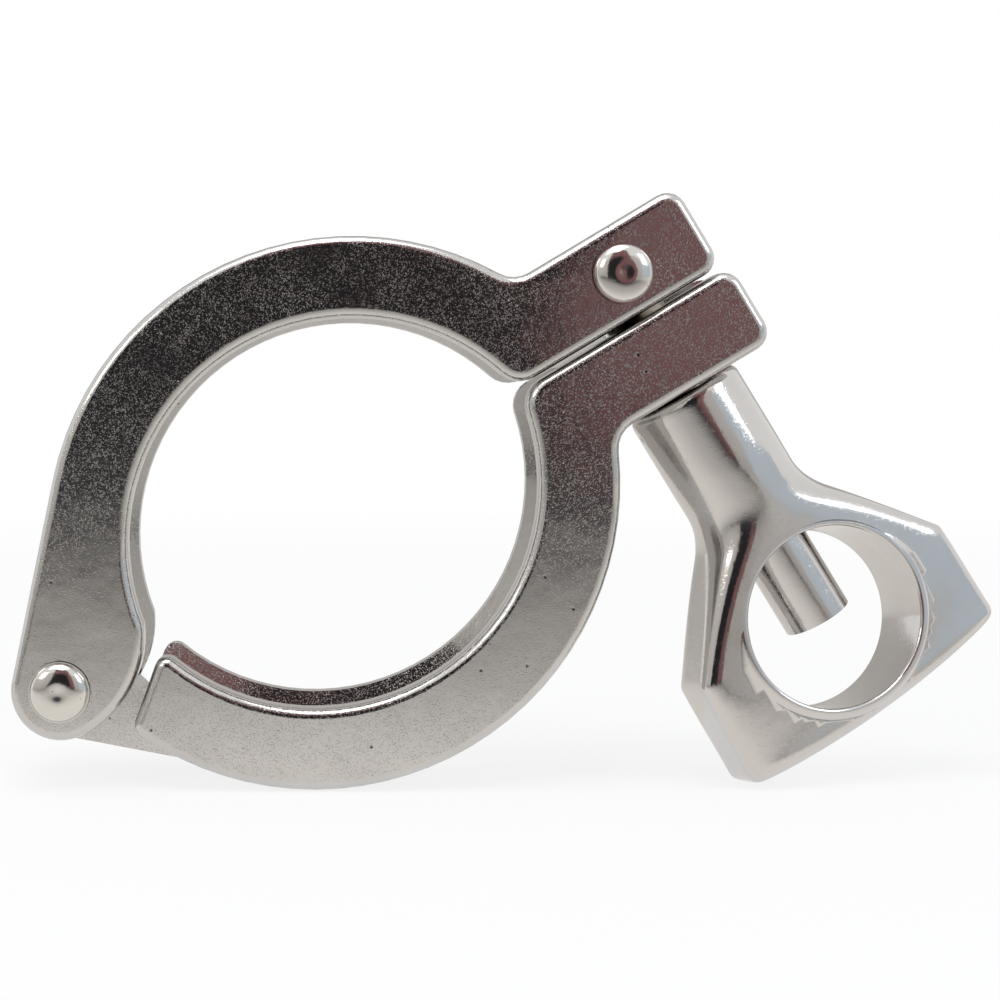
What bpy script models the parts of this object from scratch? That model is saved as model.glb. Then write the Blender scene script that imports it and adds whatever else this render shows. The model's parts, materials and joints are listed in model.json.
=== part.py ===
"""Sanitary clamp for 2 inch ferrules: two hinged cast jaws, closed by a swing bolt and a wing nut.

It is built standing on its edge, as it is set down when the nut is tight: the lower jaw's round
back and one corner of the wing nut touch the ground. X runs from the hinge to the bolt, Y along
the axis of the pipe, Z up. Lengths are in metres and angles in radians.
"""

import math

import bmesh
import bpy
import numpy as np
from mathutils import Matrix, Vector

MM = 0.001
DEG = math.pi / 180

# Ring, the same for both jaws
LIP_RADIUS = 27.1 * MM  # inner edge of the two lips
GROOVE_DEPTH = 6.0 * MM  # from the lips to the floor of the groove
GROOVE_FLOOR = 6.8 * MM  # width of the groove's floor
GROOVE_SLOPE = 20 * DEG  # slope of each wall, the taper of a ferrule's flange
RING_WALL = 9.85 * MM  # from the lips to the back of the ring
JAW_WIDTH = 17.5 * MM  # along the pipe
JAW_ROUNDING = 1.2 * MM

# Hinge
HINGE_OUTSET = 2.6 * MM  # of the hinge pin from the back of the ring
CLOSING_ANGLE = 12.1 * DEG  # how far the jaws close past their place on a ferrule
KNUCKLE_RADIUS = 6.0 * MM
KNUCKLE_WIDTH = 8.0 * MM  # tongue of the lower jaw
PIN_RADIUS = 2.5 * MM
HEAD_RADIUS = 3.7 * MM
HEAD_HEIGHT = 1.7 * MM
LOBE_END = 174.5 * DEG  # where the upper jaw's lip meets the lobe beside its hinge
SEAT_ANGLE = 187.8 * DEG  # where the lower jaw's lip ends above the hinge
SEAT_LEAN = 31 * DEG  # lean of the lower jaw's end face from the hinge line
WEB_TOP = -82 * DEG  # slope of the tongue's upper edge
WEB_SETBACK = 0.7 * MM  # of the tongue's lower edge from the back of the ring
WEB_BURY = 3.0 * MM  # how far the tongue runs on into the jaw
SEAT_CORNER = 1.5 * MM
HEEL_CORNER = 1.6 * MM  # from the lower jaw's end face to its back

# Lugs
LUG_ANGLE = 3.9 * DEG  # from the upper jaw's line through its hinge and ring
LUG_RISE = 11.0 * MM  # bolt's pin above the ring's centre
LUG_FOOT = 5.3 * MM  # from the bolt's pin down to the upper lug's underside
UPPER_LUG_THICKNESS = 11.2 * MM
LOWER_LUG_THICKNESS = 10.3 * MM
LUG_GAP = 0.6 * MM  # between the closed lugs
BOLT_OUTSET = 7.6 * MM  # of the bolt from the back of the ring, along the lugs
UPPER_LUG_END = 10.9 * MM  # beyond the bolt's pin
LOWER_LUG_END = 11.8 * MM
LUG_CORNER = 2.4 * MM
ROOT_CORNER = 3.5 * MM

# Swing bolt, 5/16 inch
BOLT_RADIUS = 3.97 * MM
BOLT_LEAN = 0.3 * DEG  # outward, within the play of its slots
TIP_SHORT = 1.2 * MM  # of the middle of the nut's finger hole, with the nut tight
EYE_RADIUS = 5.2 * MM
EYE_WIDTH = 8.4 * MM
EYE_ROUNDING = 0.6 * MM
TIP_CHAMFER = 0.8 * MM

# Wing nut
NECK_RADIUS = 7.4 * MM
NECK_ROUNDING = 1.3 * MM
FLARE_RADIUS = 9.0 * MM  # hollow between the neck and the flare
FLARE_ANGLE = 39 * DEG  # between the flare and the bolt
SHOULDER_DEPTH = 31.5 * MM  # from the neck's face to the wings' shoulders
WING_SPREAD = 0.8 * MM  # extra half width at the wing tips
WING_CORNER = 1.5 * MM
CROWN = 2.85 * MM  # bulge of the far edge
COLLAR_THICKNESS = 10.0 * MM  # raised ring around the finger hole
WING_THICKNESS = 9.4 * MM  # at the shoulders
TIP_THICKNESS = 8.2 * MM
NUT_TURN = 14 * DEG  # where the tight nut comes to a stop
FINGER_RADIUS = 10.9 * MM  # along the bolt
FINGER_HALF_WIDTH = 11.7 * MM  # across it
FINGER_RIM = 1.4 * MM  # width of the collar
RIM_ROUNDING = 0.5 * MM
FINGER_CHAMFER = 0.8 * MM
FINGER_PAST = 1.5 * MM  # from the wings' shoulders to the middle of the finger hole
SIDE_WALL = 7.5 * MM  # beside the finger hole, at the shoulders
FAR_WALL = 2.6 * MM  # beyond the finger hole

# Clearances
TOUCH = 0.3 * MM  # between pieces that touch
SLOT_PLAY = 0.35 * MM  # each side of the tongue and of the eye
BOLT_PLAY = 0.75 * MM  # each side of the bolt in the lower lug's slot
SWING_PLAY = 0.6 * MM  # around an eye or knuckle that turns in a slot

# Fineness of the round surfaces
ARC_STEP = 4.5 * DEG
FILLET_STEP = 18 * DEG
ROUND_SEGMENTS = 40

HALF_WIDTH = JAW_WIDTH / 2
BACK_RADIUS = LIP_RADIUS + RING_WALL
HINGE_REACH = BACK_RADIUS + HINGE_OUTSET  # from the ring's centre to the hinge pin
BOLT_REACH = BACK_RADIUS + BOLT_OUTSET
HINGE = Vector((0, 0))
RING_CENTRE = Vector((HINGE_REACH, 0))
LUG_ALONG = Vector((math.cos(LUG_ANGLE), math.sin(LUG_ANGLE)))
LUG_UP = Vector((-math.sin(LUG_ANGLE), math.cos(LUG_ANGLE)))
PIN_PLACE = RING_CENTRE + LUG_ALONG * BOLT_REACH + LUG_UP * LUG_RISE
SEAT_DEPTH = LUG_FOOT + LUG_GAP + LOWER_LUG_THICKNESS  # from the pin to the lower lug's far side
NECK_FACE = SEAT_DEPTH + TOUCH  # from the pin to the nut
FINGER_DEPTH = SHOULDER_DEPTH + FINGER_PAST  # from the neck's face to the finger hole
WING_HALF_WIDTH = FINGER_HALF_WIDTH + SIDE_WALL
WING_LENGTH = FINGER_PAST + FINGER_RADIUS + FAR_WALL - CROWN  # straight sides of the wings
BOLT_LENGTH = NECK_FACE + FINGER_DEPTH - TIP_SHORT  # from the pin to the tip


def direction(angle):
    return Vector((math.cos(angle), math.sin(angle)))


def turned(point, angle):
    """A point of the plane, turned counter-clockwise about the origin."""
    c, s = math.cos(angle), math.sin(angle)
    return Vector((c * point.x - s * point.y, s * point.x + c * point.y))


class Straight:
    """A directed straight edge of an outline, with the material on its left."""

    def __init__(self, point, along):
        self.point, self.along = point, along.normalized()

    def shifted_left(self, distance):
        left = Vector((-self.along.y, self.along.x))
        return Straight(self.point + left * distance, self.along)

    def foot(self, point):
        return self.point + self.along * (point - self.point).dot(self.along)

    def samples(self, start, end):
        return [start, end]


class Arc:
    """A directed circular edge of an outline. turn is 1 if it runs counter-clockwise, or -1."""

    def __init__(self, centre, radius, turn=1, step=ARC_STEP):
        self.centre, self.radius, self.turn, self.step = centre, radius, turn, step

    def shifted_left(self, distance):
        return Arc(self.centre, self.radius - self.turn * distance, self.turn, self.step)

    def foot(self, point):
        return self.centre + (point - self.centre).normalized() * self.radius

    def samples(self, start, end):
        first = math.atan2(*(start - self.centre).yx)
        sweep = (self.turn * (math.atan2(*(end - self.centre).yx) - first)) % (2 * math.pi)
        count = max(1, math.ceil(sweep / self.step))
        angles = [first + self.turn * sweep * k / count for k in range(count + 1)]
        return [self.centre + direction(a) * self.radius for a in angles]


def crossings(a, b):
    """Where two edges, carried on past their ends, meet."""
    if isinstance(a, Straight) and isinstance(b, Straight):
        cross = a.along.cross(b.along)
        return [a.point + a.along * ((b.point - a.point).cross(b.along) / cross)]
    if isinstance(a, Straight):
        middle = a.foot(b.centre)
        half = math.sqrt(max(0.0, b.radius**2 - (middle - b.centre).length_squared))
        return [middle - a.along * half, middle + a.along * half]
    if isinstance(b, Straight):
        return crossings(b, a)
    apart = b.centre - a.centre
    reach = (a.radius**2 - b.radius**2 + apart.length_squared) / (2 * apart.length)
    half = math.sqrt(max(0.0, a.radius**2 - reach**2))
    across = Vector((-apart.y, apart.x)).normalized()
    middle = a.centre + apart.normalized() * reach
    return [middle - across * half, middle + across * half]


def meeting(a, b, near):
    return min(crossings(a, b), key=lambda p: (p - near).length)


def corner(a, b, radius, near):
    """The rounded corner from edge a to edge b: outward for a positive radius, inward for a negative one."""
    middle = meeting(a.shifted_left(radius), b.shifted_left(radius), near)
    turn = 1 if radius > 0 else -1
    rounding = Arc(middle, abs(radius), turn, FILLET_STEP)
    return rounding.samples(a.foot(middle), b.foot(middle))


def outline(edges, joints):
    """Points of a closed outline. joints[i] holds the points of the corner between edges i and i + 1."""
    points = []
    for number, edge in enumerate(edges):
        points += edge.samples(joints[number - 1][-1], joints[number][0])[1:-1]
        points += joints[number]
    return points


def flank(side, setback=0.0):
    """The ends of the straight edge that touches the knuckle and the back of the ring.

    It is above the hinge line for side 1, and below it for side -1.
    """
    lean = math.acos((BACK_RADIUS - setback - KNUCKLE_RADIUS) / HINGE_REACH)
    normal = direction(math.pi - side * lean)
    return KNUCKLE_RADIUS * normal, RING_CENTRE + (BACK_RADIUS - setback) * normal


def lug_edges(foot, along, up, thickness, end):
    """The under, end and top edges of a lug, counter-clockwise.

    foot is on its underside, in line with the bolt.
    """
    under = Straight(foot, along)
    outer = Straight(foot + along * end, up)
    top = Straight(foot + up * thickness, -along)
    return under, outer, top


def upper_outline():
    """Seen along Y, from the hinge pin. The ring's centre is on the X axis."""
    back = Arc(RING_CENTRE, BACK_RADIUS)
    lip = Arc(RING_CENTRE, LIP_RADIUS, -1)
    knuckle = Arc(HINGE, KNUCKLE_RADIUS)
    on_knuckle, on_back = flank(1)
    lobe_tip = RING_CENTRE + LIP_RADIUS * direction(LOBE_END)
    height = lobe_tip.y + KNUCKLE_RADIUS
    lobe_radius = (lobe_tip.x**2 + height**2) / (2 * height)
    lobe = Arc(Vector((0, lobe_radius - KNUCKLE_RADIUS)), lobe_radius)
    foot = PIN_PLACE - LUG_UP * LUG_FOOT
    under, outer, top = lug_edges(foot, LUG_ALONG, LUG_UP, UPPER_LUG_THICKNESS, UPPER_LUG_END)
    edges = [back, Straight(on_back, on_knuckle - on_back), knuckle, lobe, lip, under, outer, top]
    joints = [
        [on_back],
        [on_knuckle],
        [Vector((0, -KNUCKLE_RADIUS))],
        [lobe_tip],
        corner(lip, under, ROOT_CORNER, PIN_PLACE),
        corner(under, outer, LUG_CORNER, PIN_PLACE),
        corner(outer, top, LUG_CORNER, PIN_PLACE),
        corner(top, back, -ROOT_CORNER, PIN_PLACE),
    ]
    return outline(edges, joints)


def lower_frame():
    """The foot and directions of the lower lug, with the jaw turned back to its own frame."""
    foot = turned(PIN_PLACE - LUG_UP * SEAT_DEPTH, -CLOSING_ANGLE)
    return foot, turned(LUG_ALONG, -CLOSING_ANGLE), turned(LUG_UP, -CLOSING_ANGLE)


def seat_edge():
    """The end face of the lower jaw, beside the hinge."""
    start = RING_CENTRE + LIP_RADIUS * direction(SEAT_ANGLE)
    return Straight(start, direction(math.pi + SEAT_LEAN))


def lower_outline():
    """Seen along Y, from the hinge pin, in the jaw's own frame: the ring's centre is on the X axis."""
    back = Arc(RING_CENTRE, BACK_RADIUS)
    lip = Arc(RING_CENTRE, LIP_RADIUS, -1)
    seat = seat_edge()
    foot, along, up = lower_frame()
    under, outer, top = lug_edges(foot, along, up, LOWER_LUG_THICKNESS, LOWER_LUG_END)
    edges = [back, under, outer, top, lip, seat]
    joints = [
        corner(back, under, -ROOT_CORNER, foot),
        corner(under, outer, LUG_CORNER, foot),
        corner(outer, top, LUG_CORNER, foot),
        corner(top, lip, ROOT_CORNER, foot),
        corner(lip, seat, SEAT_CORNER, HINGE),
        corner(seat, back, HEEL_CORNER, HINGE),
    ]
    return outline(edges, joints)


def tongue_outline():
    """The lower jaw's knuckle with the web that carries it, in the lower jaw's own frame."""
    knuckle = Arc(HINGE, KNUCKLE_RADIUS)
    on_knuckle, on_back = flank(-1, WEB_SETBACK)
    top_start = KNUCKLE_RADIUS * direction(WEB_TOP + math.pi / 2)
    top = Straight(top_start, direction(WEB_TOP))
    inside = crossings(top, seat_edge().shifted_left(WEB_BURY))[0]
    return knuckle.samples(top_start, on_knuckle) + [on_back, inside]


def fork_outline():
    """The room that the tongue turns in, cut out of the upper jaw."""
    radius = KNUCKLE_RADIUS + SWING_PLAY
    heading = WEB_TOP + CLOSING_ANGLE
    side = direction(heading + math.pi / 2)
    away = direction(heading) * HINGE_REACH
    arch = Arc(HINGE, radius).samples(radius * side, -radius * side)
    return arch + [away - radius * side, away + radius * side]


def clear_scene():
    for old in list(bpy.data.objects):
        bpy.data.objects.remove(old, do_unlink=True)


def steel(name, colour, roughness):
    material = bpy.data.materials.new(name)
    material.use_nodes = True
    shader = material.node_tree.nodes["Principled BSDF"]
    shader.inputs["Base Color"].default_value = (*colour, 1)
    shader.inputs["Metallic"].default_value = 1
    shader.inputs["Roughness"].default_value = roughness
    return material


def put(name, mesh, collection, parent, place=(0, 0, 0), turn=(0, 0, 0)):
    thing = bpy.data.objects.new(name, mesh)
    collection.objects.link(thing)
    thing.parent = parent
    thing.location = place
    thing.rotation_euler = turn
    return thing


def flat_outline(name, points, width):
    """A mesh of an outline in the XZ plane, drawn out to a width along Y."""
    curve = bpy.data.curves.new(name, "CURVE")
    curve.dimensions = "2D"
    curve.fill_mode = "BOTH"
    curve.extrude = width / 2
    spline = curve.splines.new("POLY")
    spline.points.add(len(points) - 1)
    for knot, point in zip(spline.points, points):
        knot.co = (point.x, point.y, 0, 1)
    spline.use_cyclic_u = True
    drawn = bpy.data.objects.new(name, curve)
    bpy.context.scene.collection.objects.link(drawn)
    graph = bpy.context.evaluated_depsgraph_get()
    mesh = bpy.data.meshes.new_from_object(drawn.evaluated_get(graph))
    mesh.transform(Matrix.Rotation(math.pi / 2, 4, "X"))
    bpy.data.objects.remove(drawn, do_unlink=True)
    tidy = bmesh.new()
    tidy.from_mesh(mesh)
    bmesh.ops.remove_doubles(tidy, verts=tidy.verts, dist=MM / 1000)
    bmesh.ops.dissolve_limit(tidy, angle_limit=DEG / 5, verts=tidy.verts, edges=tidy.edges)
    bmesh.ops.recalc_face_normals(tidy, faces=tidy.faces)
    tidy.to_mesh(mesh)
    tidy.free()
    return mesh


def profile(name, points):
    """A line of edges in the XZ plane, to be turned by a Screw modifier."""
    mesh = bpy.data.meshes.new(name)
    links = [(n, n + 1) for n in range(len(points) - 1)]
    mesh.from_pydata([(r, 0, z) for r, z in points], links, [])
    return mesh


def turn_round(thing, segments=ROUND_SEGMENTS):
    screw = thing.modifiers.new("turned", "SCREW")
    screw.steps = screw.render_steps = segments
    screw.use_merge_vertices = True
    screw.merge_threshold = MM / 1000


def round_edges(thing, width, segments=3):
    bevel = thing.modifiers.new("rounded", "BEVEL")
    bevel.width = width
    bevel.segments = segments
    bevel.limit_method = "ANGLE"
    bevel.angle_limit = 50 * DEG
    bevel.use_clamp_overlap = False


def combine(thing, other, operation):
    change = thing.modifiers.new(other.name, "BOOLEAN")
    change.object = other
    change.operation = operation
    change.solver = "EXACT"


class Workshop:
    """The collections and the helpers that make the tools each piece is cut with."""

    def __init__(self):
        self.parts = bpy.data.collections.new("sanitary_clamp")
        self.tools = bpy.data.collections.new("cutters")
        for collection in (self.parts, self.tools):
            bpy.context.scene.collection.children.link(collection)

    def frame(self, name, parent=None, place=(0, 0, 0), turn=0.0):
        """An empty. turn is counter-clockwise as seen along Y."""
        empty = put(name, None, self.parts, parent, place, (0, -turn, 0))
        empty.empty_display_size = 5 * MM
        return empty

    def tool(self, name, mesh, piece, place=(0, 0, 0), turn=(0, 0, 0)):
        thing = put(name, mesh, self.tools, piece, place, turn)
        thing.hide_render = True
        thing.display_type = "WIRE"
        return thing

    def box(self, name, piece, low, high, turn=0.0, place=(0, 0, 0)):
        """A box between two corners, measured from place in a frame turned about Y."""
        mesh = bpy.data.meshes.new(name)
        solid = bmesh.new()
        bmesh.ops.create_cube(solid, size=1)
        low, high = Vector(low), Vector(high)
        bmesh.ops.scale(solid, vec=high - low, verts=solid.verts)
        bmesh.ops.translate(solid, vec=(low + high) / 2, verts=solid.verts)
        solid.to_mesh(mesh)
        solid.free()
        return self.tool(name, mesh, piece, place, (0, -turn, 0))

    def rod(self, name, piece, radius, length, place=(0, 0, 0), turn=(math.pi / 2, 0, 0)):
        """A round bar, along Y unless it is turned."""
        mesh = bpy.data.meshes.new(name)
        solid = bmesh.new()
        bmesh.ops.create_cone(
            solid,
            cap_ends=True,
            segments=ROUND_SEGMENTS,
            radius1=radius,
            radius2=radius,
            depth=length,
        )
        solid.to_mesh(mesh)
        solid.free()
        return self.tool(name, mesh, piece, place, turn)


def in_space(point, y=0.0):
    return (point.x, y, point.y)


def cut_groove(shop, jaw):
    """The groove that wedges two ferrules together, turned about the pipe's axis."""
    floor_radius = LIP_RADIUS + GROOVE_DEPTH
    floor_half = GROOVE_FLOOR / 2
    peak = floor_half + floor_radius * math.tan(GROOVE_SLOPE)
    points = [(0, peak), (floor_radius, floor_half), (floor_radius, -floor_half), (0, -peak)]
    mesh = profile(jaw.name + "_groove", points)
    disc = shop.tool(mesh.name, mesh, jaw, in_space(RING_CENTRE), (math.pi / 2, 0, 0))
    turn_round(disc, math.ceil(2 * math.pi / ARC_STEP))
    combine(jaw, disc, "DIFFERENCE")


def make_upper_jaw(shop, frame):
    jaw = put("upper_jaw", flat_outline("upper_jaw", upper_outline(), JAW_WIDTH), shop.parts, frame)
    jaw.data.materials.append(steel("satin_cast_steel_upper", (0.50, 0.47, 0.45), 0.34))
    round_edges(jaw, JAW_ROUNDING)
    cut_groove(shop, jaw)
    fork_width = KNUCKLE_WIDTH + 2 * SLOT_PLAY
    fork = shop.tool("hinge_fork", flat_outline("hinge_fork", fork_outline(), fork_width), jaw)
    combine(jaw, fork, "DIFFERENCE")
    half_slot = EYE_WIDTH / 2 + SLOT_PLAY
    slot = shop.box(
        "eye_slot",
        jaw,
        (-EYE_RADIUS - SWING_PLAY, -half_slot, -UPPER_LUG_THICKNESS),
        (2 * UPPER_LUG_END, half_slot, UPPER_LUG_THICKNESS),
        LUG_ANGLE,
        in_space(PIN_PLACE),
    )
    combine(jaw, slot, "DIFFERENCE")
    for name, centre in (("hinge_bore", HINGE), ("bolt_pin_bore", PIN_PLACE)):
        bore = shop.rod(name, jaw, PIN_RADIUS + TOUCH, 2 * JAW_WIDTH, in_space(centre))
        combine(jaw, bore, "DIFFERENCE")
    return jaw


def make_lower_jaw(shop, frame):
    """It stands in its own frame, turned about the hinge until the lugs meet."""
    mesh = flat_outline("lower_jaw", lower_outline(), JAW_WIDTH)
    jaw = put("lower_jaw", mesh, shop.parts, frame, turn=(0, -CLOSING_ANGLE, 0))
    jaw.data.materials.append(steel("satin_cast_steel_lower", (0.55, 0.53, 0.50), 0.34))
    round_edges(jaw, JAW_ROUNDING)
    cut_groove(shop, jaw)
    tongue = shop.tool("tongue", flat_outline("tongue", tongue_outline(), KNUCKLE_WIDTH), jaw)
    combine(jaw, tongue, "UNION")
    bore = shop.rod("tongue_bore", jaw, PIN_RADIUS + TOUCH, 2 * JAW_WIDTH)
    combine(jaw, bore, "DIFFERENCE")
    foot, along, _ = lower_frame()
    slope = math.atan2(along.y, along.x)
    half_slot = BOLT_RADIUS + BOLT_PLAY
    slot = shop.box(
        "bolt_slot",
        jaw,
        (0, -half_slot, -LOWER_LUG_THICKNESS),
        (2 * LOWER_LUG_END, half_slot, 2 * LOWER_LUG_THICKNESS),
        slope,
        in_space(foot),
    )
    combine(jaw, slot, "DIFFERENCE")
    end = shop.rod(
        "bolt_slot_end", jaw, half_slot, 4 * LOWER_LUG_THICKNESS, in_space(foot), (0, -slope, 0)
    )
    combine(jaw, end, "DIFFERENCE")
    return jaw


def make_rivet(shop, name, frame, place):
    """A pin with a domed head on each side. The punch leaves a shallow dimple in each head."""
    shoulder = HALF_WIDTH + TOUCH
    dimple = HEAD_RADIUS / 5
    dome_steps = 7
    head = [(0, HEAD_HEIGHT - dimple / 3)]
    for step in range(dome_steps + 1):
        share = step / dome_steps
        angle = (1 - share) * math.acos(dimple / HEAD_RADIUS)
        head.append((HEAD_RADIUS * math.cos(angle), HEAD_HEIGHT * math.sin(angle)))
    top = [(r, shoulder + z) for r, z in head] + [(PIN_RADIUS, shoulder)]
    points = top + [(r, -z) for r, z in reversed(top)]
    rivet = put(name, profile(name, points), shop.parts, frame, in_space(place), (math.pi / 2, 0, 0))
    rivet.data.materials.append(steel(name + "_polished_steel", (0.63, 0.61, 0.58), 0.16))
    turn_round(rivet)
    return rivet


def make_bolt(shop, frame):
    """The eye turns on the pin, and the shank points down the frame's Z axis."""
    start = EYE_RADIUS / 2
    points = [
        (0, -start),
        (BOLT_RADIUS, -start),
        (BOLT_RADIUS, TIP_CHAMFER - BOLT_LENGTH),
        (BOLT_RADIUS - TIP_CHAMFER, -BOLT_LENGTH),
        (0, -BOLT_LENGTH),
    ]
    bolt = put("swing_bolt", profile("swing_bolt", points), shop.parts, frame)
    bolt.data.materials.append(steel("turned_steel", (0.46, 0.43, 0.38), 0.3))
    turn_round(bolt)
    eye = shop.rod("bolt_eye", bolt, EYE_RADIUS, EYE_WIDTH)
    round_edges(eye, EYE_ROUNDING, 2)
    combine(bolt, eye, "UNION")
    bore = shop.rod("eye_bore", bolt, PIN_RADIUS + TOUCH, 2 * EYE_WIDTH)
    combine(bolt, bore, "DIFFERENCE")
    return bolt


def ease(value, low, high):
    """0 up to low, 1 from high on, and an S curve between."""
    share = min(1.0, max(0.0, (value - low) / (high - low)))
    return share * share * (3 - 2 * share)


def nut_side():
    """Half widths of the wing nut down its side, as (depth from the neck's face, half width).

    The rounded far edge isn't in them.
    """
    tip_depth = SHOULDER_DEPTH + WING_LENGTH
    tip = Vector((WING_HALF_WIDTH + WING_SPREAD, -tip_depth))
    shoulder = Vector((WING_HALF_WIDTH, -SHOULDER_DEPTH))
    side = Straight(tip, shoulder - tip)
    flare = Straight(shoulder, direction(math.pi / 2 + FLARE_ANGLE))
    neck = Straight(Vector((NECK_RADIUS, 0)), Vector((0, 1)))
    face = Straight(Vector((0, 0)), Vector((-1, 0)))
    rising = [tip]
    rising += corner(side, flare, WING_CORNER, shoulder)
    rising += corner(flare, neck, -FLARE_RADIUS, shoulder)
    rising += corner(neck, face, NECK_ROUNDING, Vector((NECK_RADIUS, 0)))
    return [(-point.y, point.x) for point in reversed(rising)]


def nut_sections():
    """Sections across the wing nut: (depth, half width, half thickness, squareness, crown)."""
    side = nut_side()
    depths = [side[0][0]]
    for (before, _), (after, _) in zip(side, side[1:]):
        count = max(1, round((after - before) / WING_CORNER))
        depths += [before + (after - before) * k / count for k in range(1, count + 1)]
    tip_depth = side[-1][0]
    sections = []
    for depth in depths:
        half_width = float(np.interp(depth, *zip(*side)))
        flat = ease(depth, FLARE_RADIUS, FINGER_DEPTH)
        far = ease(depth, FINGER_DEPTH, tip_depth)
        plate = WING_THICKNESS / 2 + far * (TIP_THICKNESS - WING_THICKNESS) / 2
        round_part = min(NECK_RADIUS, half_width)
        half_thickness = round_part + flat * (plate - round_part)
        crown = ease(depth, SHOULDER_DEPTH - WING_LENGTH, tip_depth)
        sections.append((depth, half_width, half_thickness, 2 + 2 * flat, crown))
    steps = 4
    _, half_width, half_thickness, squareness, _ = sections[-1]
    for step in range(1, steps + 1):
        angle = step * math.pi / 2 / steps
        inward = WING_CORNER * (1 - math.cos(angle))
        depth = tip_depth + WING_CORNER * math.sin(angle)
        sections.append((depth, half_width - inward, half_thickness - inward, squareness, 1.0))
    return sections


def nut_mesh():
    """The round neck, drawn out into flat wings.

    Its rings of points change from circles to rounded rectangles.
    """
    around = 56
    shell = bmesh.new()
    rings = []
    crown_height = CROWN - WING_CORNER
    for depth, half_width, half_thickness, squareness, crown in nut_sections():
        ring = []
        for number in range(around):
            angle = 2 * math.pi * number / around
            c, s = math.cos(angle), math.sin(angle)
            reach = (abs(c) ** squareness + abs(s) ** squareness) ** (-1 / squareness)
            bulge = crown * crown_height * (1 - (c * reach) ** 2)
            place = (half_width * c * reach, half_thickness * s * reach, -depth - bulge)
            ring.append(shell.verts.new(place))
        rings.append(ring)
    for above, below in zip(rings, rings[1:]):
        for number in range(around):
            after = (number + 1) % around
            shell.faces.new((above[number], below[number], below[after], above[after]))
    shell.faces.new(rings[0])
    last = rings[-1]
    half = around // 2
    shell.faces.new((last[0], last[1], last[-1]))
    for number in range(1, half - 1):
        shell.faces.new((last[number], last[number + 1], last[-number - 1], last[-number]))
    shell.faces.new((last[half - 1], last[half], last[half + 1]))
    bmesh.ops.recalc_face_normals(shell, faces=shell.faces)
    mesh = bpy.data.meshes.new("wing_nut")
    shell.to_mesh(mesh)
    shell.free()
    return mesh


def make_nut(shop, frame):
    """Its origin is on the bolt, at the face that bears on the lower lug."""
    nut = put("wing_nut", nut_mesh(), shop.parts, frame, (0, 0, -NECK_FACE), (0, 0, NUT_TURN))
    nut.data.materials.append(steel("polished_cast_steel", (0.66, 0.64, 0.62), 0.14))
    hole_place = (0, 0, -FINGER_DEPTH)
    rim_radius = FINGER_RADIUS + FINGER_RIM
    stretch = FINGER_HALF_WIDTH / FINGER_RADIUS
    collar = shop.rod("collar", nut, rim_radius, COLLAR_THICKNESS, hole_place)
    collar.scale.x = stretch
    round_edges(collar, RIM_ROUNDING, 2)
    combine(nut, collar, "UNION")
    bore_length = FINGER_DEPTH + 2 * MM
    bore = shop.rod(
        "thread_bore",
        nut,
        BOLT_RADIUS + TOUCH,
        bore_length,
        (0, 0, 2 * MM - bore_length / 2),
        (0, 0, 0),
    )
    combine(nut, bore, "DIFFERENCE")
    half_ring = COLLAR_THICKNESS / 2
    half = [
        (0, 2 * COLLAR_THICKNESS),
        (rim_radius, 2 * COLLAR_THICKNESS),
        (rim_radius, half_ring),
        (FINGER_RADIUS + FINGER_CHAMFER, half_ring),
        (FINGER_RADIUS, half_ring - FINGER_CHAMFER),
    ]
    mesh = profile("finger_hole", half + [(r, -z) for r, z in reversed(half)])
    hole = shop.tool("finger_hole", mesh, nut, hole_place, (math.pi / 2, 0, 0))
    hole.scale.x = stretch
    turn_round(hole, 2 * ROUND_SEGMENTS)
    combine(nut, hole, "DIFFERENCE")
    return nut


def smooth(pieces):
    """Shades the round faces smooth, and keeps their edges."""
    for piece in pieces:
        piece.data.shade_smooth()
        piece.data.set_sharp_from_angle(angle=35 * DEG)


def outer_points(pieces):
    """The points of the finished pieces, one array for each piece."""
    bpy.context.view_layer.update()
    graph = bpy.context.evaluated_depsgraph_get()
    clouds = {}
    for piece in pieces:
        shape = piece.evaluated_get(graph)
        mesh = shape.to_mesh()
        clouds[piece.name] = np.array([tuple(shape.matrix_world @ v.co) for v in mesh.vertices])
        shape.to_mesh_clear()
    return clouds


def tilted(cloud, angle):
    """Points turned about the Y axis, counter-clockwise as seen along Y."""
    c, s = math.cos(angle), math.sin(angle)
    return cloud @ np.array([(c, 0, s), (0, 1, 0), (-s, 0, c)])


def stand_up(root, pieces, feet):
    """Turns the clamp until its two feet are equally low, and puts it on Z = 0.

    The origin is then below the middle of the clamp.
    """
    clouds = outer_points(pieces)
    left, right = (clouds[foot.name] for foot in feet)
    low_turn, high_turn = -math.pi / 2, math.pi / 2
    for _ in range(50):
        middle = (low_turn + high_turn) / 2
        if tilted(left, middle)[:, 2].min() > tilted(right, middle)[:, 2].min():
            low_turn = middle
        else:
            high_turn = middle
    everything = tilted(np.vstack(list(clouds.values())), middle)
    low, high = everything.min(axis=0), everything.max(axis=0)
    root.rotation_euler.y = -middle
    root.location = (-(low[0] + high[0]) / 2, -(low[1] + high[1]) / 2, -low[2])
    bpy.context.view_layer.update()


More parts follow.
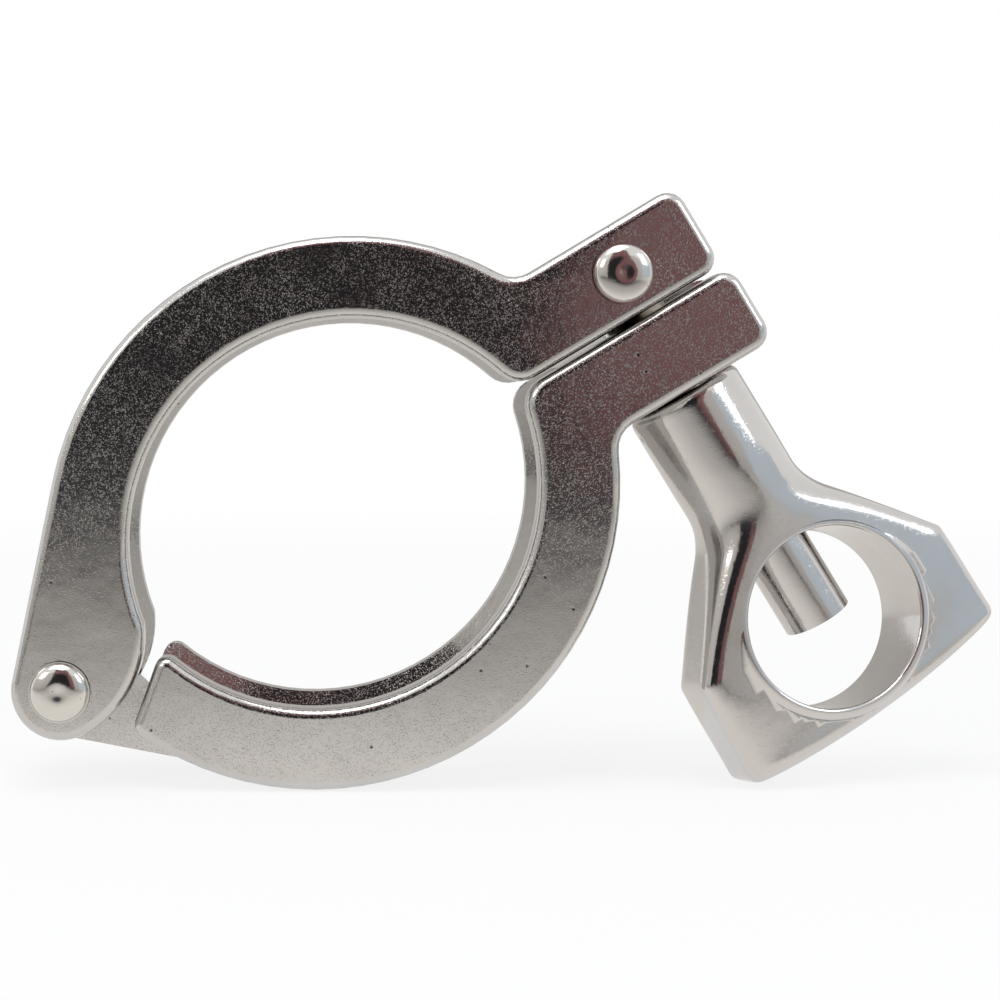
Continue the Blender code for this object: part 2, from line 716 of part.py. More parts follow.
def main():
    clear_scene()
    shop = Workshop()
    root = shop.frame("hinge_axis")
    bolt_frame = shop.frame("bolt_pivot", root, in_space(PIN_PLACE), LUG_ANGLE + BOLT_LEAN)
    upper = make_upper_jaw(shop, root)
    lower = make_lower_jaw(shop, root)
    hinge_pin = make_rivet(shop, "hinge_pin", root, HINGE)
    bolt_pin = make_rivet(shop, "bolt_pin", root, PIN_PLACE)
    bolt = make_bolt(shop, bolt_frame)
    nut = make_nut(shop, bolt_frame)
    pieces = [upper, lower, hinge_pin, bolt_pin, bolt, nut]
    smooth(pieces)
    stand_up(root, pieces, (lower, nut))


main()
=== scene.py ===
"""Looks of the sanitary clamp: polished cast jaws, domed rivets, a threaded swing bolt and a
bright wing nut, on a pale floor."""

import json
import math

import bmesh
import bpy
import numpy as np
from bpy.props import FloatProperty, FloatVectorProperty, IntProperty, PointerProperty
from mathutils import Matrix, Vector
from mathutils.kdtree import KDTree

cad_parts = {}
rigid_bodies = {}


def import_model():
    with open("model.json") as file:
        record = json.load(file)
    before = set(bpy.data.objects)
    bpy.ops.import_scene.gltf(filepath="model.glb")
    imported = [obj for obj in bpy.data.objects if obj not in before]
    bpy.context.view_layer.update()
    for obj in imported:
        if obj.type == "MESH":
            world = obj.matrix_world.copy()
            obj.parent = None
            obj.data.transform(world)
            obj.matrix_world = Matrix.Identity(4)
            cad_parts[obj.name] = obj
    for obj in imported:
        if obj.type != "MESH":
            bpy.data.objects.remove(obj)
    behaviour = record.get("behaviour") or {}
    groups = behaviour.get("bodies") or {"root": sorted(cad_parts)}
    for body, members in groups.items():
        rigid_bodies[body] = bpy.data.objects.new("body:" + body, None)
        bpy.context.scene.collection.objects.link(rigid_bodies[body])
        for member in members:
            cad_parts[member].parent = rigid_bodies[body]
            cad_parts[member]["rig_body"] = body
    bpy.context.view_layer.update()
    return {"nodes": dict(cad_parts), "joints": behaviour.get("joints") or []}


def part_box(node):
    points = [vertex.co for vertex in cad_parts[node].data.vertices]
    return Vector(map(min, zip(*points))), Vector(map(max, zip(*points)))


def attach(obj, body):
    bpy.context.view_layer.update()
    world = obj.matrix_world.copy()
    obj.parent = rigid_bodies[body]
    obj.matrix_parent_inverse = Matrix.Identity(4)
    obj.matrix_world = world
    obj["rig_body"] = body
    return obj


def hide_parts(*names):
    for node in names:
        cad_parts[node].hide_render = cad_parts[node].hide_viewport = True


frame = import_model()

bl_info = {
    "name": "Sanitary clamp looks",
    "version": (1, 0, 0),
    "blender": (4, 5, 0),
    "location": "View3D > Sidebar > Clamp",
    "description": "Dresses the packed sanitary clamp: cast and polished steel, the bolt's thread and a pale stage",
    "category": "Object",
}

MM = 0.001
JOINTS = {joint["name"]: joint for joint in frame["joints"]}
BOLT_PIN = Vector(JOINTS["bolt_swing"]["pos_m"])
BOLT_DOWN = Vector(JOINTS["nut_travel"]["axis"]).normalized()
HINGE = Vector(JOINTS["jaw_hinge"]["pos_m"])
RING_REACH = 39.55 * MM  # from the hinge to the middle of each jaw's ring
RING_HEADING = {"upper_jaw": math.radians(27.06), "lower_jaw": math.radians(39.16)}
GROOVE_SLOPE = math.radians(20)
FLARE_ANGLE = math.radians(39)  # between the bolt and the nut's flare
RIVET_SHOULDER = 9.05 * MM  # from the middle of the clamp to the underside of a rivet's head


def colour(name, description, default):
    return FloatVectorProperty(
        name=name, description=description, subtype="COLOR", size=3, min=0, max=1, default=default
    )


def length(name, description, default):
    return FloatProperty(name=name, description=description, default=default, min=0, unit="LENGTH")


def number(name, description, default):
    return FloatProperty(name=name, description=description, default=default, min=0)


class ClampSteel(bpy.types.PropertyGroup):
    """Colours and finish of the steel."""

    jaw_colour: colour("Jaw colour", "Polished cast steel of the two jaws", (0.57, 0.558, 0.545))
    jaw_roughness: number("Jaw roughness", "Of the polished skin of the jaws", 0.09)
    nut_colour: colour("Nut colour", "Bright steel of the wing nut", (0.61, 0.59, 0.575))
    nut_roughness: number("Nut roughness", "Of the wing nut's polish", 0.12)
    rivet_colour: colour("Rivet colour", "Bright steel of the rivets", (0.66, 0.64, 0.61))
    bolt_colour: colour("Bolt colour", "Dull steel of the thread", (0.42, 0.375, 0.31))
    grain_size: length("Grain size", "Of the fine orange peel of the casting", 0.3 * MM)
    pit_spacing: length("Pit spacing", "Typical distance between the pits of the casting", 1.1 * MM)
    ripple_size: length("Ripple size", "Size of the soft waves that polishing leaves", 5.0 * MM)


class ClampThread(bpy.types.PropertyGroup):
    """Thread of the swing bolt."""

    crest_radius: length("Crest radius", "Outer radius of the thread", 3.96 * MM)
    depth: length("Thread depth", "From crest to root", 0.78 * MM)
    pitch: length("Pitch", "Distance between two crests", 25.4 / 18 * MM)
    start: length("Start", "From the pin to the first turn", 9.0 * MM)
    tip: length("Tip", "From the pin to the tip of the bolt", 48.3 * MM)
    segments: IntProperty(name="Segments", description="Points in each turn", default=56, min=12)


class ClampNut(bpy.types.PropertyGroup):
    """Shape of the wing nut. Depths are measured from the face that bears on the lug."""

    face_depth: length("Face depth", "From the bolt's pin to the neck's face", 16.5 * MM)
    neck_radius: length("Neck radius", "Radius of the round neck", 7.4 * MM)
    shoulder_depth: length("Shoulder depth", "Where the wings are first at full width", 31.5 * MM)
    tip_depth: length("Tip depth", "Where the wings' straight sides end", 43.5 * MM)
    shoulder_half: length("Shoulder half width", "Half width at the shoulders", 19.2 * MM)
    tip_half: length("Tip half width", "Half width at the tips", 19.65 * MM)
    crown: length("Crown", "Bulge of the far edge", 2.85 * MM)
    wing_thickness: length("Wing thickness", "At the shoulders", 9.4 * MM)
    tip_thickness: length("Tip thickness", "At the far edge", 8.2 * MM)
    hole_depth: length("Hole depth", "Where the middle of the finger hole is", 33.0 * MM)
    hole_radius: length("Hole radius", "Of the finger hole, along the bolt", 10.9 * MM)
    hole_half: length("Hole half width", "Of the finger hole, across the bolt", 11.7 * MM)
    collar_width: length("Collar width", "Of the raised ring around the hole", 1.5 * MM)
    collar_thickness: length("Collar thickness", "Of the raised ring around the hole", 10.0 * MM)
    bore_radius: length("Bore radius", "Of the threaded bore", 4.27 * MM)
    turn: FloatProperty(
        name="Turn", description="Where the tight nut stands", subtype="ANGLE", default=math.radians(14)
    )


class ClampStage(bpy.types.PropertyGroup):
    """Camera, floor and lights."""

    focal_length: FloatProperty(
        name="Focal length", description="Of the camera, in millimetres", default=64.8, min=1
    )
    camera_place: FloatVectorProperty(
        name="Camera place",
        description="Where the camera stands",
        subtype="XYZ",
        unit="LENGTH",
        default=(-0.0238, -0.225, 0.046),
    )
    camera_shift: FloatVectorProperty(
        name="Camera shift",
        description="Shift of the frame, in frame widths",
        size=2,
        default=(0.181, -0.091),
    )
    floor_colour: colour("Floor colour", "Pale floor", (0.9, 0.9, 0.9))
    table_tone: colour("Table tone", "What the steel mirrors of the table", (0.98, 0.945, 0.9))
    room_tone: colour("Room tone", "What the steel mirrors of the dim room", (0.024, 0.023, 0.025))
    brown_tone: colour("Brown tone", "What the lugs mirror of the room", (0.25, 0.13, 0.13))
    window_tone: colour("Window tone", "What the steel mirrors of the window light", (0.62, 0.70, 0.77))
    soft_light: number("Soft light", "Power of the large lights, in watts", 1.9)


class NodeSheet:
    """Short calls for adding nodes and links to one node tree."""

    def __init__(self, tree):
        self.tree = tree

    def add(self, kind, **settings):
        node = self.tree.nodes.new(kind)
        for key, value in settings.items():
            if key in node.inputs:
                node.inputs[key].default_value = value
            else:
                setattr(node, key, value)
        return node

    def link(self, source, target):
        self.tree.links.new(source, target)

    def math(self, operation, a, b=0.5):
        node = self.add("ShaderNodeMath", operation=operation)
        for slot, value in zip(node.inputs, (a, b)):
            if isinstance(value, bpy.types.NodeSocket):
                self.link(value, slot)
            else:
                slot.default_value = value
        return node.outputs[0]

    def spread(self, value, low, high, to_low=0.0, to_high=1.0):
        node = self.add("ShaderNodeMapRange")
        self.link(value, node.inputs["Value"])
        node.inputs["From Min"].default_value = low
        node.inputs["From Max"].default_value = high
        node.inputs["To Min"].default_value = to_low
        node.inputs["To Max"].default_value = to_high
        return node.outputs["Result"]

    def tint(self, share, first, second):
        node = self.add("ShaderNodeMix", data_type="RGBA")
        for value, slot in ((share, 0), (first, 6), (second, 7)):
            if isinstance(value, bpy.types.NodeSocket):
                self.link(value, node.inputs[slot])
            elif slot == 0:
                node.inputs[slot].default_value = value
            else:
                node.inputs[slot].default_value = (*value[:3], 1)
        return node.outputs[2]


    def ramp(self, value, stops):
        """Tones along a value, as (place, tone) from the lowest place to the highest."""
        node = self.add("ShaderNodeValToRGB")
        self.link(value, node.inputs[0])
        spots = node.color_ramp.elements
        while len(spots) < len(stops):
            spots.new(1.0)
        for spot, (place, tone) in zip(spots, stops):
            spot.position = place
            spot.color = (*tone[:3], 1)
        return node.outputs[0]


def group_tree(name, inputs, outputs):
    tree = bpy.data.node_groups.new(name, "ShaderNodeTree")
    for label, kind, value in inputs:
        socket = tree.interface.new_socket(name=label, in_out="INPUT", socket_type=kind)
        if value is not None:
            socket.default_value = value
    for label, kind in outputs:
        tree.interface.new_socket(name=label, in_out="OUTPUT", socket_type=kind)
    sheet = NodeSheet(tree)
    return sheet, sheet.add("NodeGroupInput"), sheet.add("NodeGroupOutput")


def cast_skin_group():
    """Skin of a polished casting: a pit mask, the height of its orange peel, waves and pits, and patches."""
    sheet, start, end = group_tree(
        "cast_skin",
        [
            ("Grain Scale", "NodeSocketFloat", 3300.0),
            ("Grain Height", "NodeSocketFloat", 1.0),
            ("Pit Scale", "NodeSocketFloat", 900.0),
            ("Pit Amount", "NodeSocketFloat", 0.5),
            ("Ripple Scale", "NodeSocketFloat", 220.0),
        ],
        [
            ("Pits", "NodeSocketFloat"),
            ("Height", "NodeSocketFloat"),
            ("Patches", "NodeSocketFloat"),
            ("Specks", "NodeSocketFloat"),
        ],
    )
    place = sheet.add("ShaderNodeTexCoord").outputs["Object"]
    patches = sheet.add("ShaderNodeTexNoise", Scale=110.0, Detail=3.0, Roughness=0.6)
    sheet.link(place, patches.inputs["Vector"])
    uneven = sheet.spread(patches.outputs["Fac"], 0.35, 0.68)
    grain = sheet.add("ShaderNodeTexNoise", Detail=3.0, Roughness=0.6)
    sheet.link(place, grain.inputs["Vector"])
    sheet.link(start.outputs["Grain Scale"], grain.inputs["Scale"])
    bumps = sheet.spread(grain.outputs["Fac"], 0.55, 0.8, 0.0, 0.4)
    fine = sheet.math("MULTIPLY", bumps, start.outputs["Grain Height"])
    fine = sheet.math("MULTIPLY", fine, sheet.spread(uneven, 0.0, 1.0, 0.6, 1.15))
    ripple = sheet.add("ShaderNodeTexNoise", Detail=2.0, Roughness=0.5)
    sheet.link(place, ripple.inputs["Vector"])
    sheet.link(start.outputs["Ripple Scale"], ripple.inputs["Scale"])
    pits = sheet.add("ShaderNodeTexVoronoi", feature="F1", Randomness=1.0)
    sheet.link(place, pits.inputs["Vector"])
    sheet.link(start.outputs["Pit Scale"], pits.inputs["Scale"])
    chance = sheet.add("ShaderNodeSeparateColor")
    sheet.link(pits.outputs["Color"], chance.inputs["Color"])
    keep = sheet.math("MULTIPLY", start.outputs["Pit Amount"], sheet.spread(uneven, 0.0, 1.0, 0.1, 1.6))
    present = sheet.math("LESS_THAN", chance.outputs["Red"], keep)
    width = sheet.spread(chance.outputs["Green"], 0.0, 1.0, 0.08, 0.26)
    dish = sheet.math("DIVIDE", pits.outputs["Distance"], width)
    mask = sheet.math("MULTIPLY", sheet.spread(dish, 0.3, 1.0, 1.0, 0.0), present)
    raised = sheet.math("ADD", fine, sheet.math("MULTIPLY", ripple.outputs["Fac"], 1.2))
    sheet.link(sheet.math("SUBTRACT", raised, sheet.math("MULTIPLY", mask, 0.8)), end.inputs["Height"])
    sheet.link(mask, end.inputs["Pits"])
    sheet.link(uneven, end.inputs["Patches"])
    sheet.link(sheet.spread(grain.outputs["Fac"], 0.56, 0.72), end.inputs["Specks"])
    return sheet.tree


def steel_material(name, base, dark, roughness, relief, grain, grain_height, pits, pit_amount, ripple):
    """Bare steel. dark is its colour in the pits. grain, pits and ripple are sizes."""
    material = bpy.data.materials.new(name)
    material.use_nodes = True
    sheet = NodeSheet(material.node_tree)
    shader = material.node_tree.nodes["Principled BSDF"]
    shader.inputs["Metallic"].default_value = 1
    skin = sheet.add("ShaderNodeGroup", node_tree=bpy.data.node_groups["cast_skin"])
    skin.inputs["Grain Scale"].default_value = 1 / grain
    skin.inputs["Grain Height"].default_value = grain_height
    skin.inputs["Pit Scale"].default_value = 1 / pits
    skin.inputs["Pit Amount"].default_value = pit_amount
    skin.inputs["Ripple Scale"].default_value = 1 / ripple
    worn = [channel * 0.94 for channel in base]
    bare = sheet.tint(skin.outputs["Patches"], base, worn)
    sheet.link(sheet.tint(skin.outputs["Pits"], bare, dark), shader.inputs["Base Color"])
    uneven = sheet.spread(skin.outputs["Patches"], 0.0, 1.0, roughness * 0.75, roughness * 1.3)
    matt = sheet.math("ADD", skin.outputs["Pits"], skin.outputs["Specks"])
    sheet.link(sheet.math("ADD", uneven, sheet.math("MULTIPLY", matt, 0.08)), shader.inputs["Roughness"])
    bump = sheet.add("ShaderNodeBump", Strength=1.0, Distance=relief)
    sheet.link(skin.outputs["Height"], bump.inputs["Height"])
    sheet.link(bump.outputs["Normal"], shader.inputs["Normal"])
    return material


def ring_directions(place, middle):
    """The true surface normals that a jaw's round faces can have at a place."""
    out = Vector((place.x - middle.x, 0, place.z - middle.z)).normalized()
    c, s = math.cos(GROOVE_SLOPE), math.sin(GROOVE_SLOPE)
    walls = [Vector((-s * out.x, side * c, -s * out.z)) for side in (-1, 1)]
    return [out, -out, *walls]


def shade_as_turned(piece, middle):
    """Gives the facets of a jaw's ring the shading of the round faces that they stand for."""
    graph = bpy.context.evaluated_depsgraph_get()
    mesh = bpy.data.meshes.new_from_object(piece.evaluated_get(graph))
    normals = [Vector(normal.vector) for normal in mesh.corner_normals]
    for face in mesh.polygons:
        near = [d for d in ring_directions(face.center, middle) if d.dot(face.normal) > math.cos(math.radians(4))]
        kept = {face.loop_start + k for k in range(face.loop_total)}
        for number in kept:
            place = mesh.vertices[mesh.loops[number].vertex_index].co
            choices = ring_directions(place, middle)
            limit = math.radians(12 if near else 6)
            aim = face.normal if near else normals[number]
            best = max(choices, key=aim.dot)
            if best.dot(aim) > math.cos(limit):
                normals[number] = best
    mesh.normals_split_custom_set(normals)
    piece.modifiers.clear()
    piece.data = mesh


def surface_samples(mesh, spacing):
    """Points spread evenly over a mesh, each with its normal and its share of the area."""
    mesh.calc_loop_triangles()
    places, normals, areas = [], [], []
    for triangle in mesh.loop_triangles:
        a, b, c = (mesh.vertices[n].co for n in triangle.vertices)
        longest = max((b - a).length, (c - b).length, (a - c).length)
        cuts = max(1, min(12, math.ceil(longest / spacing)))
        for i in range(cuts):
            for j in range(cuts - i):
                u, v = (i + 1 / 3) / cuts, (j + 1 / 3) / cuts
                places.append(a + (b - a) * u + (c - a) * v)
                normals.append(triangle.normal)
                areas.append(triangle.area / (cuts * (cuts + 1) / 2))
    return places, np.array([tuple(normal) for normal in normals]), np.array(areas)


def shade_as_blended(piece, reach, limit):
    """Shades a cast shape by the mean normal of the surface around each corner.

    Faces that differ by more than the limit angle keep a sharp edge between them.
    """
    mesh = piece.data
    places, normals, areas = surface_samples(mesh, reach / 2)
    tree = KDTree(len(places))
    for number, place in enumerate(places):
        tree.insert(place, number)
    tree.balance()
    found = []
    for face in mesh.polygons:
        for vertex in face.vertices:
            near = tree.find_range(mesh.vertices[vertex].co, 1.6 * reach)
            numbers = [item[1] for item in near]
            fades = np.exp(-np.square(np.array([item[2] for item in near]) / reach))
            facing = normals[numbers] @ np.array(face.normal)
            weights = areas[numbers] * fades * np.clip((facing - math.cos(limit)) / (1 - math.cos(limit)), 0, 1)
            mean = weights @ normals[numbers]
            found.append(Vector(mean).normalized() if np.any(mean) else face.normal.copy())
    piece.modifiers.clear()
    mesh.normals_split_custom_set(found)


def dressed_copy(node, name, material, sharp):
    """A node's own shape with its facets shaded smooth. It stands for the node."""
    source = frame["nodes"][node]
    shape = bmesh.new()
    shape.from_mesh(source.data)
    bmesh.ops.remove_doubles(shape, verts=shape.verts, dist=MM / 500)
    bmesh.ops.dissolve_limit(shape, angle_limit=math.radians(0.3), verts=shape.verts, edges=shape.edges)
    mesh = bpy.data.meshes.new(name)
    shape.to_mesh(mesh)
    shape.free()
    mesh.materials.clear()
    mesh.materials.append(material)
    mesh.shade_smooth()
    mesh.set_sharp_from_angle(angle=math.radians(sharp))
    piece = bpy.data.objects.new(name, mesh)
    bpy.context.scene.collection.objects.link(piece)
    even = piece.modifiers.new("even shading", "WEIGHTED_NORMAL")
    even.keep_sharp = True
    even.weight = 100
    if node in RING_HEADING:
        heading = RING_HEADING[node]
        shade_as_turned(piece, HINGE + RING_REACH * Vector((math.cos(heading), 0, math.sin(heading))))
    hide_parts(node)
    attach(piece, source["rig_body"])
    return piece


def thread_mesh(name, thread):
    """The bolt's shank with a right-handed thread.

    Its rows of points wind down the shank with the ridge, so that crest and root stay crisp.
    """
    profile = [(0.0, 1.0), (0.1, 1.0), (0.48, 0.0), (0.62, 0.0)]
    rows, count = len(profile), thread.segments
    turns = math.ceil((thread.tip - thread.start) / thread.pitch)
    shape = bmesh.new()
    lines = []
    for row in range(rows * (turns + 3)):
        phase, ridge = profile[row % rows]
        line = []
        for number in range(count):
            share = number / count
            down = thread.start + thread.pitch * (row // rows - 1 + phase - share)
            down = min(thread.tip, max(thread.start, down))
            fade_in = min(1.0, (down - thread.start) / thread.pitch)
            chamfer = max(0.0, down - (thread.tip - thread.depth * 1.15))
            radius = thread.crest_radius - thread.depth * (1 - ridge) * fade_in
            radius = min(radius, thread.crest_radius - chamfer)
            angle = 2 * math.pi * share
            line.append(shape.verts.new((radius * math.cos(angle), radius * math.sin(angle), -down)))
        lines.append(line)
    for row, (above, below) in enumerate(zip(lines, lines[1:])):
        for number in range(count - 1):
            shape.faces.new((above[number], below[number], below[number + 1], above[number + 1]))
        if row >= rows:
            last = count - 1
            shape.faces.new((above[last], below[last], lines[row + 1 - rows][0], lines[row - rows][0]))
    bmesh.ops.remove_doubles(shape, verts=shape.verts, dist=MM / 500)
    bmesh.ops.holes_fill(shape, edges=[edge for edge in shape.edges if edge.is_boundary])
    bmesh.ops.recalc_face_normals(shape, faces=shape.faces)
    mesh = bpy.data.meshes.new(name)
    shape.to_mesh(mesh)
    shape.free()
    return mesh


class CLAMP_OT_skins(bpy.types.Operator):
    """Build the shared node group of the cast skin."""

    bl_idname = "clamp.skins"
    bl_label = "Cast skin"

    def execute(self, context):
        cast_skin_group()
        return {"FINISHED"}


class CLAMP_OT_jaws(bpy.types.Operator):
    """Dress the two cast jaws."""

    bl_idname = "clamp.jaws"
    bl_label = "Jaws"

    def execute(self, context):
        steel = context.scene.clamp_steel
        skin = steel_material(
            name="cast_jaw_steel",
            base=steel.jaw_colour,
            dark=(0.16, 0.14, 0.125),
            roughness=steel.jaw_roughness,
            relief=0.045 * MM,
            grain=0.6 * steel.grain_size,
            grain_height=1.0,
            pits=steel.pit_spacing,
            pit_amount=0.15,
            ripple=steel.ripple_size,
        )
        dressed_copy("upper_jaw", "upper_jaw_casting", skin, 40)
        dressed_copy("lower_jaw", "lower_jaw_casting", skin, 40)
        return {"FINISHED"}


def rivet_mesh(name, node):
    """A turned rivet: a shank between two domed heads, with a low rim and the punch's hollow in each."""
    low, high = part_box(node)
    radius = (high[0] - low[0]) / 2
    half = (high[1] - low[1]) / 2
    shank, rim = 0.65 * radius, 0.05 * radius
    height = half - RIVET_SHOULDER
    steps = 30
    outline = [(shank, RIVET_SHOULDER), (radius, RIVET_SHOULDER), (radius, RIVET_SHOULDER + rim / 2)]
    for step in range(steps + 1):
        share = step / steps
        r = (radius - rim) * (1 - share)
        hollow = 0.13 * height * math.exp(-((r / (0.3 * radius)) ** 2))
        dome = math.sqrt(max(0.0, 1 - (r / (radius - rim)) ** 2)) ** 0.9
        outline.append((r, RIVET_SHOULDER + rim / 2 + (height - rim / 2) * dome * 0.98 - hollow))
    outline = [(r, -y) for r, y in reversed(outline)] + outline
    shape = bmesh.new()
    knots = [shape.verts.new((r, y, 0)) for r, y in outline]
    for before, after in zip(knots, knots[1:]):
        shape.edges.new((before, after))
    bmesh.ops.spin(
        shape,
        geom=list(shape.verts) + list(shape.edges),
        axis=(0, 1, 0),
        cent=(0, 0, 0),
        angle=2 * math.pi,
        steps=72,
        use_merge=True,
    )
    bmesh.ops.remove_doubles(shape, verts=shape.verts, dist=MM / 500)
    bmesh.ops.recalc_face_normals(shape, faces=shape.faces)
    mesh = bpy.data.meshes.new(name)
    shape.to_mesh(mesh)
    shape.free()
    mesh.transform(Matrix.Translation(((low[0] + high[0]) / 2, (low[1] + high[1]) / 2, (low[2] + high[2]) / 2)))
    return mesh


class CLAMP_OT_rivets(bpy.types.Operator):
    """Make the hinge rivet and the bolt's rivet."""

    bl_idname = "clamp.rivets"
    bl_label = "Rivets"

    def execute(self, context):
        steel = context.scene.clamp_steel
        skin = steel_material(
            name="rivet_steel",
            base=steel.rivet_colour,
            dark=(0.3, 0.28, 0.25),
            roughness=0.11,
            relief=0.012 * MM,
            grain=steel.grain_size,
            grain_height=0.8,
            pits=steel.pit_spacing / 2,
            pit_amount=0.15,
            ripple=steel.ripple_size / 2,
        )
        for node, name in (("hinge_pin", "hinge_rivet"), ("bolt_pin", "bolt_rivet")):
            piece = bpy.data.objects.new(name, rivet_mesh(name, node))
            context.scene.collection.objects.link(piece)
            piece.data.materials.append(skin)
            piece.data.shade_smooth()
            piece.data.set_sharp_from_angle(angle=math.radians(50))
            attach(piece, frame["nodes"][node]["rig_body"])
            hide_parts(node)
        return {"FINISHED"}


class CLAMP_OT_bolt(bpy.types.Operator):
    """Make the swing bolt with its thread."""

    bl_idname = "clamp.bolt"
    bl_label = "Swing bolt"

    def execute(self, context):
        steel = context.scene.clamp_steel
        thread = context.scene.clamp_thread
        skin = steel_material(
            name="bolt_steel",
            base=steel.bolt_colour,
            dark=(0.12, 0.10, 0.08),
            roughness=0.26,
            relief=0.006 * MM,
            grain=steel.grain_size,
            grain_height=0.6,
            pits=steel.pit_spacing / 2,
            pit_amount=0.04,
            ripple=steel.ripple_size,
        )
        source = frame["nodes"]["swing_bolt"]
        shape = bmesh.new()
        shape.from_mesh(source.data)
        bmesh.ops.remove_doubles(shape, verts=shape.verts, dist=MM / 500)
        edge = BOLT_PIN + BOLT_DOWN * (thread.start + MM / 10)
        everything = list(shape.verts) + list(shape.edges) + list(shape.faces)
        cut = bmesh.ops.bisect_plane(shape, geom=everything, plane_co=edge, plane_no=BOLT_DOWN, clear_outer=True)
        rim = [item for item in cut["geom_cut"] if isinstance(item, bmesh.types.BMEdge)]
        bmesh.ops.holes_fill(shape, edges=rim)
        eye_mesh = bpy.data.meshes.new("bolt_eye")
        shape.to_mesh(eye_mesh)
        shape.free()
        eye = bpy.data.objects.new("swing_bolt_eye", eye_mesh)
        shank = bpy.data.objects.new("swing_bolt_thread", thread_mesh("bolt_thread", thread))
        shank.location = BOLT_PIN
        shank.rotation_mode = "QUATERNION"
        shank.rotation_quaternion = Vector((0, 0, -1)).rotation_difference(BOLT_DOWN)
        for piece, sharp in ((eye, 40), (shank, 50)):
            context.scene.collection.objects.link(piece)
            piece.data.materials.clear()
            piece.data.materials.append(skin)
            piece.data.shade_smooth()
            piece.data.set_sharp_from_angle(angle=math.radians(sharp))
            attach(piece, source["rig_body"])
            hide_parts("swing_bolt")
        return {"FINISHED"}


def rounded_path(points, radii, fineness=12):
    """A line of points with its inner corners rounded to the given radii."""
    path = [points[0]]
    for before, here, after, radius in zip(points, points[1:], points[2:], radii):
        back, on = (before - here).normalized(), (after - here).normalized()
        half = back.angle(on) / 2
        middle = here + (back + on).normalized() * (radius / math.sin(half))
        start = here + back * (radius / math.tan(half)) - middle
        end = here + on * (radius / math.tan(half)) - middle
        sweep = start.angle(end)
        for step in range(fineness + 1):
            share = step / fineness
            bent = (math.sin((1 - share) * sweep) * start + math.sin(share * sweep) * end) / math.sin(sweep)
            path.append(middle + bent)
    return path + [points[-1]]


def eased(value, low, high):
    share = min(1.0, max(0.0, (value - low) / (high - low)))
    return share * share * (3 - 2 * share)


def nut_loft(nut):
    """The neck and wings of the nut, lofted through fine sections. The bolt is its Z axis."""
    corners = [
        (5.6 * MM, 0),
        (nut.neck_radius, 0),
        (nut.neck_radius, nut.shoulder_depth - (nut.shoulder_half - nut.neck_radius) / math.tan(FLARE_ANGLE)),
        (nut.shoulder_half, nut.shoulder_depth),
        (nut.tip_half, nut.tip_depth),
    ]
    corners = [Vector((x, depth, 0)) for x, depth in corners]
    side = rounded_path(corners, (1.3 * MM, 9 * MM, 1.5 * MM))
    fine = [side[0]]
    for before, after in zip(side, side[1:]):
        count = max(1, math.ceil((after - before).length / (0.5 * MM)))
        fine += [before.lerp(after, k / count) for k in range(1, count + 1)]
    sections = []
    for point in fine:
        half_width, depth = point.x, point.y
        flat = eased(depth, 9 * MM, nut.hole_depth)
        far = eased(depth, nut.hole_depth, nut.tip_depth)
        plate = (nut.wing_thickness + far * (nut.tip_thickness - nut.wing_thickness)) / 2
        round_part = min(nut.neck_radius, half_width)
        half_thickness = round_part + flat * (plate - round_part)
        crown = eased(depth, nut.shoulder_depth - 12 * MM, nut.tip_depth)
        square = 2 + 7 * eased(depth, 15 * MM, nut.shoulder_depth + 3 * MM)
        sections.append((depth, half_width, half_thickness, square, crown))
    depth, half_width, half_thickness, square, _ = sections[-1]
    edge, steps = 1.5 * MM, 8
    for step in range(1, steps + 1):
        angle = step * math.pi / 2 / steps
        inward = edge * (1 - math.cos(angle))
        down = depth + edge * math.sin(angle)
        sections.append((down, half_width - inward, half_thickness - inward, square, 1.0))
    around = 128
    shape = bmesh.new()
    rings = []
    for depth, half_width, half_thickness, square, crown in sections:
        ring = []
        for number in range(around):
            angle = 2 * math.pi * number / around
            c, s = math.cos(angle), math.sin(angle)
            reach = (abs(c) ** square + abs(s) ** square) ** (-1 / square)
            bulge = crown * (nut.crown - edge) * (1 - (c * reach) ** 2)
            spot = (half_width * c * reach, half_thickness * s * reach, -depth - bulge)
            ring.append(shape.verts.new(spot))
        rings.append(ring)
    for above, below in zip(rings, rings[1:]):
        for number in range(around):
            after = (number + 1) % around
            shape.faces.new((above[number], below[number], below[after], above[after]))
    shape.faces.new(rings[0])
    last = rings[-1]
    half = around // 2
    shape.faces.new((last[0], last[1], last[-1]))
    for number in range(1, half - 1):
        shape.faces.new((last[number], last[number + 1], last[-number - 1], last[-number]))
    shape.faces.new((last[half - 1], last[half], last[half + 1]))
    bmesh.ops.recalc_face_normals(shape, faces=shape.faces)
    mesh = bpy.data.meshes.new("nut_loft")
    shape.to_mesh(mesh)
    shape.free()
    return mesh


def turned_mesh(name, outline, segments, closed):
    """A mesh turned about the Z axis from points (radius, height)."""
    shape = bmesh.new()
    knots = [shape.verts.new((r, 0, z)) for r, z in outline]
    pairs = list(zip(knots, knots[1:])) + ([(knots[-1], knots[0])] if closed else [])
    for before, after in pairs:
        shape.edges.new((before, after))
    bmesh.ops.spin(
        shape,
        geom=list(shape.verts) + list(shape.edges),
        axis=(0, 0, 1),
        cent=(0, 0, 0),
        angle=2 * math.pi,
        steps=segments,
        use_merge=True,
    )
    bmesh.ops.remove_doubles(shape, verts=shape.verts, dist=MM / 500)
    bmesh.ops.recalc_face_normals(shape, faces=shape.faces)
    mesh = bpy.data.meshes.new(name)
    shape.to_mesh(mesh)
    shape.free()
    return mesh


